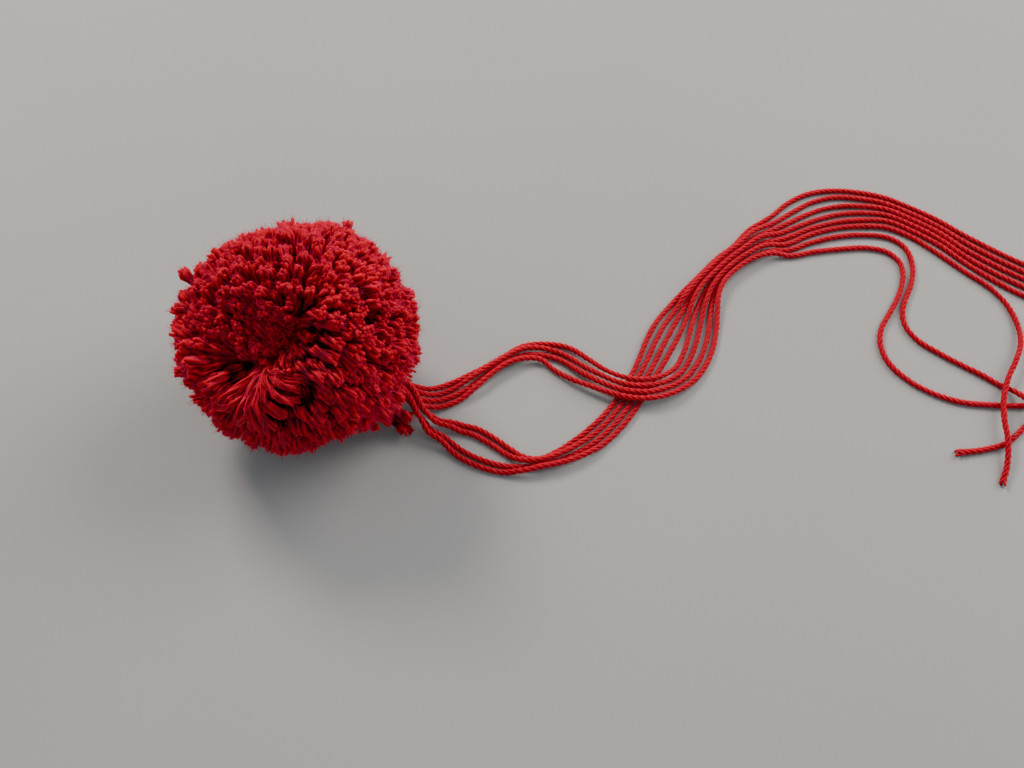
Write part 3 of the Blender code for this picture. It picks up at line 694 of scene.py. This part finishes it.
def fibres(roots, ways, lengths, curl, thick, draw):
    """Fine loose fibres: a root, a middle that is curled aside, and a pointed tip."""
    aside = unit(np.cross(ways, unit(draw.normal(size=ways.shape))))
    curled = ways + aside * curl * draw.uniform(-1, 1, (len(roots), 1))
    middle = roots + curled * lengths[:, None]
    routes = np.stack((roots, middle), axis=1)
    thickness = np.broadcast_to(np.array((1.0, FIBRE_TAPER)) * thick, routes.shape[:2])
    side = np.repeat(aside[:, None], 2, axis=1) + 1e-4
    return tubes(routes, thickness, side, sides=3, dome=FIBRE_POINT, draw=draw)


def set_inputs(node, values):
    """The shader node with these values in its inputs, by name or by number."""
    for name, value in values.items():
        node.inputs[name].default_value = value
    return node


def link(source, output, target, entry):
    """Join an output of one shader node to an input of another, by name or by number."""
    source.id_data.links.new(source.outputs[output], target.inputs[entry])


def tone_ramp(tree, color, stops):
    """A ramp between two shades of one color. Each stop has its position and its share of the color."""
    ramp = tree.nodes.new("ShaderNodeValToRGB")
    for element, (position, share) in zip(ramp.color_ramp.elements, stops):
        element.position = position
        element.color = (*[min(part * share, 1) for part in color], 1)
    return ramp


def yarn_nodes(name, color, yarn, deep):
    """Plied yarn: fibre streaks along each ply, a shade of its own for each ply, a soft sheen, and painted
    shade toward the ball's centre.

    The last argument has two distances from the ball's centre, in millimetres. Nearer than the first the
    yarn has the painted shade color, which stands in for the shade far inside the ball, and farther than the
    second the color that is given."""
    material = bpy.data.materials.new(name)
    material.diffuse_color = (*color, 1)
    material.use_nodes = True
    tree = material.node_tree
    shader = set_inputs(tree.nodes["Principled BSDF"], {
        "Roughness": yarn.roughness,
        "Sheen Weight": yarn.sheen,
        "Sheen Roughness": 0.45,
        "Sheen Tint": (1.0, 0.12, 0.15, 1.0),
        "Specular IOR Level": 0.12,
        "Subsurface Weight": 0.8,
        "Subsurface Radius": (1.0, 0.12, 0.15),
        "Subsurface Scale": 2.0 * MM,
    })

    place = tree.nodes.new("ShaderNodeUVMap")
    place.uv_map = "yarn"
    stretch = set_inputs(tree.nodes.new("ShaderNodeMapping"), {"Scale": STREAK_SCALE})
    streaks = set_inputs(tree.nodes.new("ShaderNodeTexNoise"), {"Scale": 1.0, "Detail": 3.0})
    bump = set_inputs(tree.nodes.new("ShaderNodeBump"), {"Strength": 0.4, "Distance": 0.12 * MM})
    link(place, "UV", stretch, "Vector")
    link(stretch, "Vector", streaks, "Vector")
    link(streaks, "Fac", bump, "Height")
    link(bump, "Normal", shader, "Normal")

    faint = set_inputs(tree.nodes.new("ShaderNodeMath"), {1: STREAK_SHARE})
    faint.operation = "MULTIPLY"
    shade = tree.nodes.new("ShaderNodeAttribute")
    shade.attribute_name = "shade"
    both = set_inputs(tree.nodes.new("ShaderNodeMath"), {1: SHADE_SHARE})
    both.operation = "MULTIPLY_ADD"
    tone = tone_ramp(tree, color, YARN_TONES)
    link(streaks, "Fac", faint, 0)
    link(shade, "Fac", both, 0)
    link(faint, "Value", both, 2)
    link(both, "Value", tone, "Fac")

    # Painted shade: by its distance from the ball's centre alone, the yarn turns from its color to the
    # painted shade color
    spot = tree.nodes.new("ShaderNodeTexCoord")
    from_centre = set_inputs(tree.nodes.new("ShaderNodeVectorMath"), {1: BALL_CENTRE * MM})
    from_centre.operation = "DISTANCE"
    depth = tree.nodes.new("ShaderNodeMapRange")
    set_inputs(depth, {"From Min": deep[0] * MM, "From Max": deep[1] * MM})
    painted_shade_mix = tree.nodes.new("ShaderNodeMix")
    painted_shade_mix.data_type = "RGBA"
    set_inputs(painted_shade_mix, {"A": (*yarn.painted_shade_color, 1)})
    link(spot, "Object", from_centre, 0)
    link(from_centre, "Value", depth, "Value")
    link(depth, "Result", painted_shade_mix, "Factor")
    link(tone, "Color", painted_shade_mix, "B")
    link(painted_shade_mix, "Result", shader, "Base Color")
    return material


# Settings


def color_setting(name, about, default):
    return bpy.props.FloatVectorProperty(
        name=name, description=about, default=default, subtype="COLOR", min=0, max=1
    )


def share_setting(name, about, default):
    return bpy.props.FloatProperty(
        name=name, description=about, default=default, subtype="FACTOR", min=0, max=1
    )


def measure_setting(name, about, default, unit):
    return bpy.props.FloatProperty(name=name, description=about, default=default, unit=unit)


def count_setting(name, about, default, least, most):
    return bpy.props.IntProperty(name=name, description=about, default=default, min=least, max=most)


class PompomYarn(bpy.types.PropertyGroup):
    """The yarn's colors and finish"""

    color: color_setting("Yarn color", "Color of the yarn in the light", (0.475, 0.003, 0.016))
    # Painted shade: the color the yarn is darkened to toward the ball's centre, standing in for the shade
    # deep inside the ball; the yarn itself is one color
    painted_shade_color: color_setting("Deep color", "Color of the yarn far inside the ball", (0.46, 0.0028, 0.015))
    roughness: share_setting("Roughness", "Roughness of the fibres", 0.8)
    sheen: share_setting("Sheen", "How much the loose fibres catch the light", 0.04)


class PompomBall(bpy.types.PropertyGroup):
    """The ball's cut yarn"""

    yarns: count_setting("Yarn ends", "How many cut yarn ends the ball has", 1500, 100, 2500)
    plies: count_setting("Plies", "How many strands of fibre an end opens into", 8, 2, 8)
    turn_length: measure_setting("Twist", "Length of one turn of the plies", 0.017, "LENGTH")
    trim: measure_setting("Uneven trim", "How unevenly the yarn ends were cut", 0.0009, "LENGTH")
    lean: measure_setting("Lean", "How far yarn ends lean aside", 0.055, "ROTATION")
    middle: measure_setting("Packed middle", "Radius of the tightly packed middle", 0.0140, "LENGTH")
    fibres: count_setting("Loose fibres", "Fine fibres in each of the two fibre pieces", 15000, 0, 19000)
    seed: bpy.props.IntProperty(name="Seed", description="Another lay of the yarn", default=11)


class PompomTie(bpy.types.PropertyGroup):
    """The loose strands of the tie"""

    # Painted shade: the tie is the same yarn as the ball, and its darker color stands in for how dimly its
    # strands are lit
    color: color_setting("Tie color", "Color of the tie's strands in the light", (0.42, 0.003, 0.014))
    plies: count_setting("Plies", "How many plies are twisted into one strand", 4, 2, 5)
    thickness: measure_setting("Thickness", "Thickness of one strand", TIE_THICK * MM, "LENGTH")
    turn_length: measure_setting("Twist", "Length of one turn of the plies", 0.0068, "LENGTH")
    fibres: count_setting("Loose fibres", "How many fine fibres stand out of each strand", 700, 0, 3000)


class PompomStage(bpy.types.PropertyGroup):
    """The floor, the light and the camera"""

    floor_color: color_setting("Floor color", "Color of the table", (0.345, 0.323, 0.312))
    key_power: measure_setting("Key light", "Power of the soft light behind the ball", 6.0, "POWER")
    fill_power: measure_setting("Fill light", "Power of the light from the right", 6.8, "POWER")
    view_elevation: measure_setting(
        "Camera elevation", "How steeply the camera looks down", math.radians(60), "ROTATION"
    )
    view_distance: measure_setting("Camera distance", "From the camera to the table", 0.2962, "LENGTH")


# The stage


def aimed(way):
    """The rotation that turns a light or a camera to look that way."""
    return way.to_track_quat("-Z", "Y").to_euler()


def area_light(name, place, size, color, power):
    bpy.ops.object.select_all(action="DESELECT")
    bpy.ops.object.light_add(type="AREA", location=place)
    light = bpy.context.object
    light.name = name
    light.rotation_euler = aimed(Vector(LIGHT_AIM) - Vector(place))
    light.data.size = size
    light.data.energy = power
    light.data.color = color


def table_nodes(color):
    """A pale matt table top with faint soft blotches."""
    material = bpy.data.materials.new("pale_table")
    material.use_nodes = True
    tree = material.node_tree
    shader = set_inputs(tree.nodes["Principled BSDF"], {"Roughness": 0.75, "Specular IOR Level": 0.25})
    spot = tree.nodes.new("ShaderNodeTexCoord")
    cloud = set_inputs(tree.nodes.new("ShaderNodeTexNoise"), {"Scale": 7.0, "Detail": 2.0})
    tone = tone_ramp(tree, color, TABLE_TONES)
    link(spot, "Object", cloud, "Vector")
    link(cloud, "Fac", tone, "Fac")
    link(tone, "Color", shader, "Base Color")
    return material


class POMPOM_OT_stage(bpy.types.Operator):
    """Add the pale table, the soft light and the camera"""

    bl_idname = "pompom.stage"
    bl_label = "Stage"

    def execute(self, context):
        stage = context.scene.pompom_stage
        bpy.ops.object.select_all(action="DESELECT")
        bpy.ops.mesh.primitive_plane_add(size=TABLE_SIZE, location=(0, 0, -TABLE_BELOW))
        table = context.object
        table.name = "pale_table"
        bpy.ops.object.transform_apply(location=True, rotation=True, scale=True)
        table.data.materials.append(table_nodes(stage.floor_color))
        for light, power in zip(LIGHTS, (stage.key_power, stage.fill_power)):
            area_light(*light, power)
        world = bpy.data.worlds.new("soft_room")
        world.use_nodes = True
        room = {"Color": ROOM_COLOR, "Strength": ROOM_STRENGTH}
        set_inputs(world.node_tree.nodes["Background"], room)
        context.scene.world = world
        steep = stage.view_elevation
        toward_camera = Vector((0, -math.cos(steep), math.sin(steep)))
        place = Vector(CAMERA_AIM) * MM + toward_camera * stage.view_distance
        bpy.ops.object.select_all(action="DESELECT")
        bpy.ops.object.camera_add(location=place)
        camera = context.object
        camera.name = "camera"
        camera.rotation_euler = aimed(-toward_camera)
        camera.data.lens = CAMERA_LENS
        camera.data.sensor_width = CAMERA_SENSOR
        camera.data.clip_start, camera.data.clip_end = CAMERA_CLIP
        context.scene.camera = camera
        return {"FINISHED"}


# The tie


def strand_plies(route, tie, draw):
    """The plies of one strand, a little looser in places and frayed at the loose end."""
    half = tie.thickness / 2 / MM
    from_end = np.append(np.cumsum(steps_along(route)[::-1])[::-1], 0.0)
    frayed = np.exp(-from_end / TIE_FRAY)
    slow = smooth_route(draw.normal(size=(len(route) // TIE_WAVE + 2, 3)), 0.5)
    places, given = np.linspace(0, 1, len(route)), np.linspace(0, 1, len(slow))
    looseness, fullness = (np.interp(places, given, slow[:, column]) for column in range(2))
    opening = half * (TIE_OPENING[0] + TIE_OPENING[1] * looseness + TIE_OPENING[2] * frayed)
    thick = half * (TIE_PLY[0] + TIE_PLY[1] * fullness) * (1 - TIE_PLY[2] * frayed)
    upward = np.array([(0.0, 0.0, 1.0)])
    start = draw.uniform(0, 2 * math.pi, 1)
    routes, thickness, side = plied(
        route[None], opening[None], thick[None], upward, start, tie.plies, tie.turn_length / MM
    )
    return tubes(routes, thickness, side, sides=5, dome=0.5, draw=draw, uneven=0.05)


def strand_fibres(route, tie, draw):
    """The loose fibres that stand out of one strand."""
    count = tie.fibres
    at = draw.integers(2, len(route) - 1, count)
    heading = unit(np.gradient(route, axis=0))[at]
    out = unit(np.cross(heading, draw.normal(size=(count, 3))))
    ways = unit(out + heading * draw.normal(0, TIE_FIBRE_SPREAD, (count, 1)))
    roots = route[at] + out * (tie.thickness / 2 / MM) * TIE_FIBRE_ROOT
    lengths = draw.uniform(*TIE_FIBRE_LENGTH, count)
    return fibres(roots, ways, lengths, curl=0.35, thick=0.028, draw=draw)


class POMPOM_OT_tie(bpy.types.Operator):
    """Ply the eight strands of the tie along their routes"""

    bl_idname = "pompom.tie"
    bl_label = "Tie strands"

    def execute(self, context):
        tie = context.scene.pompom_tie
        yarn = context.scene.pompom_yarn
        # Painted shade: near the ball the tie's strands take the painted shade color
        material = yarn_nodes("tie_yarn", tie.color, yarn, deep=(13.0, 30.0))
        for number, (name, route) in enumerate(tie_routes(TIE_STEP).items()):
            draw = np.random.default_rng(TIE_SEED + number)
            parts = [strand_plies(route, tie, draw), strand_fibres(route, tie, draw)]
            strand = make_piece(f"yarn_strand_{name}", parts, material, [f"tie_strand_{name}"])
        return {"FINISHED"}


# The ball


class POMPOM_OT_packed_middle(bpy.types.Operator):
    """Shape the lumpy middle of tightly packed yarn that the ends stand out of"""

    bl_idname = "pompom.packed_middle"
    bl_label = "Packed middle"

    def execute(self, context):
        ball = context.scene.pompom_ball
        yarn = context.scene.pompom_yarn
        bpy.ops.object.select_all(action="DESELECT")
        bpy.ops.mesh.primitive_ico_sphere_add(subdivisions=6, radius=ball.middle, location=BALL_CENTRE * MM)
        middle = context.object
        middle.name = "packed_middle"
        lumps = bpy.data.textures.new("yarn_lumps", "VORONOI")
        lumps.noise_scale = LUMP_SIZE * MM
        bulge = middle.modifiers.new("lumps", "DISPLACE")
        bulge.texture = lumps
        bulge.texture_coords = "LOCAL"
        bulge.strength = -LUMP_DEPTH * MM
        bpy.ops.object.modifier_apply(modifier=bulge.name)
        bpy.ops.object.shade_smooth()
        bpy.ops.object.transform_apply(location=True, rotation=True, scale=True)
        middle.data.uv_layers[0].name = "yarn"
        shade = middle.data.attributes.new("shade", "FLOAT", "POINT")
        draw = np.random.default_rng(ball.seed + 1)
        shade.data.foreach_set("value", draw.uniform(0, 1, len(middle.data.vertices)).astype(np.float32))
        # Painted shade: the whole packed middle takes the painted shade color, as shade deep inside the ball
        material = yarn_nodes("packed_yarn", yarn.painted_shade_color, yarn, deep=(10.0, 16.0))
        middle.data.materials.append(material)
        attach(middle, BODY)
        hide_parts("pompom_ball")
        return {"FINISHED"}


def yarn_ends(ball):
    """Middle lines of all the cut yarn ends, from the ball's centre, and the random draws to go on with."""
    draw = np.random.default_rng(ball.seed)
    directions = bunched(spread_directions(ball.yarns, SPREAD_SEED))
    ends = bent(directions, 1.0)
    full = outline_radius(ends)
    lengths = dipped(directions, full)
    bend = lengths / full
    uneven = ball.trim / MM * YARN_UNEVEN
    lengths = lengths - YARN_SHORTER + draw.normal(0, uneven, ball.yarns)
    proud = draw.uniform(0, 1, ball.yarns) < PROUD_SHARE
    lengths = lengths + proud * draw.uniform(*PROUD, ball.yarns)
    lean = np.cross(draw.normal(0, ball.lean, (ball.yarns, 3)), directions)
    middles = []
    for place, *_ in PLY_RINGS:
        ways = unit(swept(bent(directions, place * bend), place) + lean * place**2)
        middles.append(ways * (CORE_RADIUS + (lengths - CORE_RADIUS) * place)[:, None])
    middles = np.stack(middles, axis=1)
    height = middles[:, -1, 2]
    lowest = FLOOR_ROOM - BALL_CENTRE[2]
    downward = np.minimum(height, -1e-6)
    reach = np.where(height < lowest, lowest / downward, 1.0)
    reach = np.where(in_flat_spot(directions), (lowest - FOOT_LOWER) / downward, reach)
    share = np.array([row[0] for row in PLY_RINGS])
    return middles * (1 + (reach[:, None] - 1) * share)[..., None], draw


def ply_parts(middles, draw, ball, keep):
    """The plies of the yarn ends in `keep`, parted round the tie and put in place over the table."""
    count = keep.sum()
    middles = middles[keep]
    share, opening, thick = np.array(PLY_RINGS).T
    opening = opening * draw.uniform(*OPENING_VARIES, (count, 1))
    thick = thick * draw.uniform(*THICKNESS_VARIES, (count, 1))
    _, angle, _, below, _ = beside_cleft(unit(middles[:, -1]))
    near = bell(angle, CLEFT_SWEEP_WIDTH)
    closed = ((1 - below) * near)[:, None]
    fuller = (below * near)[:, None]
    opening = opening * (1 - BOWL_CLOSED * closed * share**2)
    opening = opening * (1 + COMBED_FULLER[0] * fuller)
    thick = thick * (1 + COMBED_FULLER[1] * fuller)
    reference = unit(np.cross(middles[:, -1], draw.normal(size=(count, 3))))
    start = draw.uniform(0, 2 * math.pi, count)
    routes, thickness, side = plied(
        middles, opening, thick, reference, start, ball.plies, ball.turn_length / MM, PLY_NEAREST
    )
    along = unit(np.gradient(routes, axis=1))
    more = draw.uniform(-PLY_LONGER, PLY_LONGER, (len(routes), 1)) * share**3
    wander = draw.normal(0, PLY_WANDER, (len(routes), len(share), 3)) * share[:, None]
    routes = routes + along * more[..., None] + wander
    thickness = thickness * draw.uniform(*PLY_VARIES, (len(routes), 1))
    flat = parted(routes.reshape(-1, 3), TIE_MIDDLE) + BALL_CENTRE
    flat[:, 2] = np.maximum(flat[:, 2], thickness.ravel() * PLY_OVER_TABLE)
    return flat.reshape(routes.shape), thickness, side


def fibres_at_cuts(tips, ways, ball, draw):
    """The loose fibres that stand out of the ball's cut ends."""
    count = ball.fibres
    at = draw.integers(0, len(tips), count)
    spread = unit(ways[at] + draw.normal(0, BALL_FIBRE_SPREAD, (count, 3)))
    below = ways[at] * draw.uniform(0, BALL_FIBRE_DEPTH, (count, 1))
    roots = tips[at] - below + spread * BALL_FIBRE_BESIDE
    lengths = draw.uniform(*BALL_FIBRE_LENGTH, count)
    return fibres(roots, spread, lengths, curl=0.3, thick=0.034, draw=draw)


class POMPOM_OT_yarn_ends(bpy.types.Operator):
    """Ply the cut yarn ends of the ball, and open each one at its cut"""

    bl_idname = "pompom.yarn_ends"
    bl_label = "Cut yarn ends"

    def execute(self, context):
        ball = context.scene.pompom_ball
        yarn = context.scene.pompom_yarn
        # Painted shade: nearer than 17 mm to the ball's centre the cut yarn takes the painted shade color
        material = yarn_nodes("cut_yarn", yarn.color, yarn, deep=(17.0, 25.5))
        middles, draw = yarn_ends(ball)
        height = unit(middles[:, -1])[:, 2]
        zone = np.digitize(height, np.quantile(height, ZONE_SHARES))
        tips, ways = [], []
        for number, name in enumerate(ZONES):
            routes, thickness, side = ply_parts(middles, draw, ball, zone == number)
            parts = [tubes(routes, thickness, side, sides=4, dome=0.3, draw=draw, uneven=0.09)]
            make_piece(name, parts, material, ["pompom_ball"])
            tips.append(routes[:, -1])
            ways.append(unit(routes[:, -1] - routes[:, -3]))
        tips, ways = np.vstack(tips), np.vstack(ways)
        clear = tips[:, 2] > BALL_FIBRE_ABOVE
        for name in ("loose_fibres", "loose_fibres_more"):
            parts = [fibres_at_cuts(tips[clear], ways[clear], ball, draw)]
            make_piece(name, parts, material, ["pompom_ball"])
        return {"FINISHED"}


class POMPOM_OT_combed_yarn(bpy.types.Operator):
    """Lay the yarn that is combed out of the cleft and over the side below it"""

    bl_idname = "pompom.combed_yarn"
    bl_label = "Combed yarn"

    def execute(self, context):
        ball = context.scene.pompom_ball
        yarn = context.scene.pompom_yarn
        draw = np.random.default_rng(ball.seed + 5)
        count = FAN_CLUMPS * FAN_YARNS
        clump = np.repeat(np.arange(FAN_CLUMPS), FAN_YARNS)
        heading = np.linspace(*FAN_HEADINGS, FAN_CLUMPS) + draw.normal(0, FAN_UNEVEN[0], FAN_CLUMPS)
        heading = heading[clump] + draw.normal(0, FAN_UNEVEN[1], count)
        lift = draw.uniform(*FAN_LIFT, FAN_CLUMPS)[clump] + draw.normal(0, FAN_LIFT_UNEVEN, count)
        lift -= FAN_SINK[1] * np.clip(heading - FAN_SINK[0], 0, None)
        far = draw.uniform(*FAN_FAR, FAN_CLUMPS)[clump]
        far = far + draw.uniform(-FAN_FAR_UNEVEN, FAN_FAR_UNEVEN, count)
        foot = unit(toward(*FAN_SOURCE) + draw.normal(0, FAN_SOURCE_SPREAD, (count, 3)))
        below = BELOW_CLEFT[(CLEFT_LINE @ toward(*FAN_SOURCE)).argmax()]
        below = unit(below - (below * foot).sum(axis=1, keepdims=True) * foot)
        sideways = np.cross(foot, below)
        way = turned(heading, below, sideways)
        middles = []
        for share, height in FAN_PROFILE:
            ways = turned(share * FAN_REACH * far, foot, way)
            trimmed = outline_radius(ways)
            surface = np.maximum(dipped(ways, trimmed), trimmed * FAN_LOWEST)
            middles.append(ways * (CORE_RADIUS + (surface + lift - CORE_RADIUS) * height)[:, None])
        middles = np.stack(middles, axis=1)
        open_out = np.linspace(0, 1, len(FAN_PROFILE)) ** 3
        opening = (FAN_OPENING[0] + FAN_OPENING[1] * open_out) * draw.uniform(*OPENING_VARIES, (count, 1))
        thick = (FAN_PLY[0] + FAN_PLY[1] * open_out) * draw.uniform(*FAN_PLY_VARIES, (count, 1))
        start = draw.uniform(0, 2 * math.pi, count)
        routes, thickness, side = plied(
            middles, opening, thick, unit(sideways), start, FAN_PLIES, ball.turn_length / MM, PLY_NEAREST
        )
        # Painted shade: nearer than 14 mm to the ball's centre the combed yarn takes the painted shade color
        material = yarn_nodes("combed_yarn", yarn.color, yarn, deep=(14.0, 27.0))
        routes = routes + BALL_CENTRE
        parts = [tubes(routes, thickness, side, sides=5, dome=0.45, draw=draw, uneven=0.06)]
        make_piece("combed_yarn", parts, material, ["pompom_ball"])
        return {"FINISHED"}


class POMPOM_PT_making(bpy.types.Panel):
    """The steps of making the pom pom, in order"""

    bl_label = "Pom pom"
    bl_idname = "POMPOM_PT_making"
    bl_space_type = "VIEW_3D"
    bl_region_type = "UI"
    bl_category = "Pom pom"

    def draw(self, context):
        for operator in OPERATORS:
            self.layout.operator(operator.bl_idname)
        for group in SETTINGS:
            settings = getattr(context.scene, group)
            for name in SETTINGS[group].__annotations__:
                self.layout.prop(settings, name)


SETTINGS = {
    "pompom_yarn": PompomYarn,
    "pompom_ball": PompomBall,
    "pompom_tie": PompomTie,
    "pompom_stage": PompomStage,
}
OPERATORS = (
    POMPOM_OT_stage,
    POMPOM_OT_tie,
    POMPOM_OT_packed_middle,
    POMPOM_OT_yarn_ends,
    POMPOM_OT_combed_yarn,
)


def register():
    for name, group in SETTINGS.items():
        bpy.utils.register_class(group)
        setattr(bpy.types.Scene, name, bpy.props.PointerProperty(type=group))
    for operator in OPERATORS:
        bpy.utils.register_class(operator)
    bpy.utils.register_class(POMPOM_PT_making)


def unregister():
    bpy.utils.unregister_class(POMPOM_PT_making)
    for operator in OPERATORS:
        bpy.utils.unregister_class(operator)
    for name, group in SETTINGS.items():
        delattr(bpy.types.Scene, name)
        bpy.utils.unregister_class(group)


def main():
    register()
    bpy.ops.pompom.stage()
    bpy.ops.pompom.tie()
    bpy.ops.pompom.packed_middle()
    bpy.ops.pompom.yarn_ends()
    bpy.ops.pompom.combed_yarn()


if __name__ == "__main__":
    main()
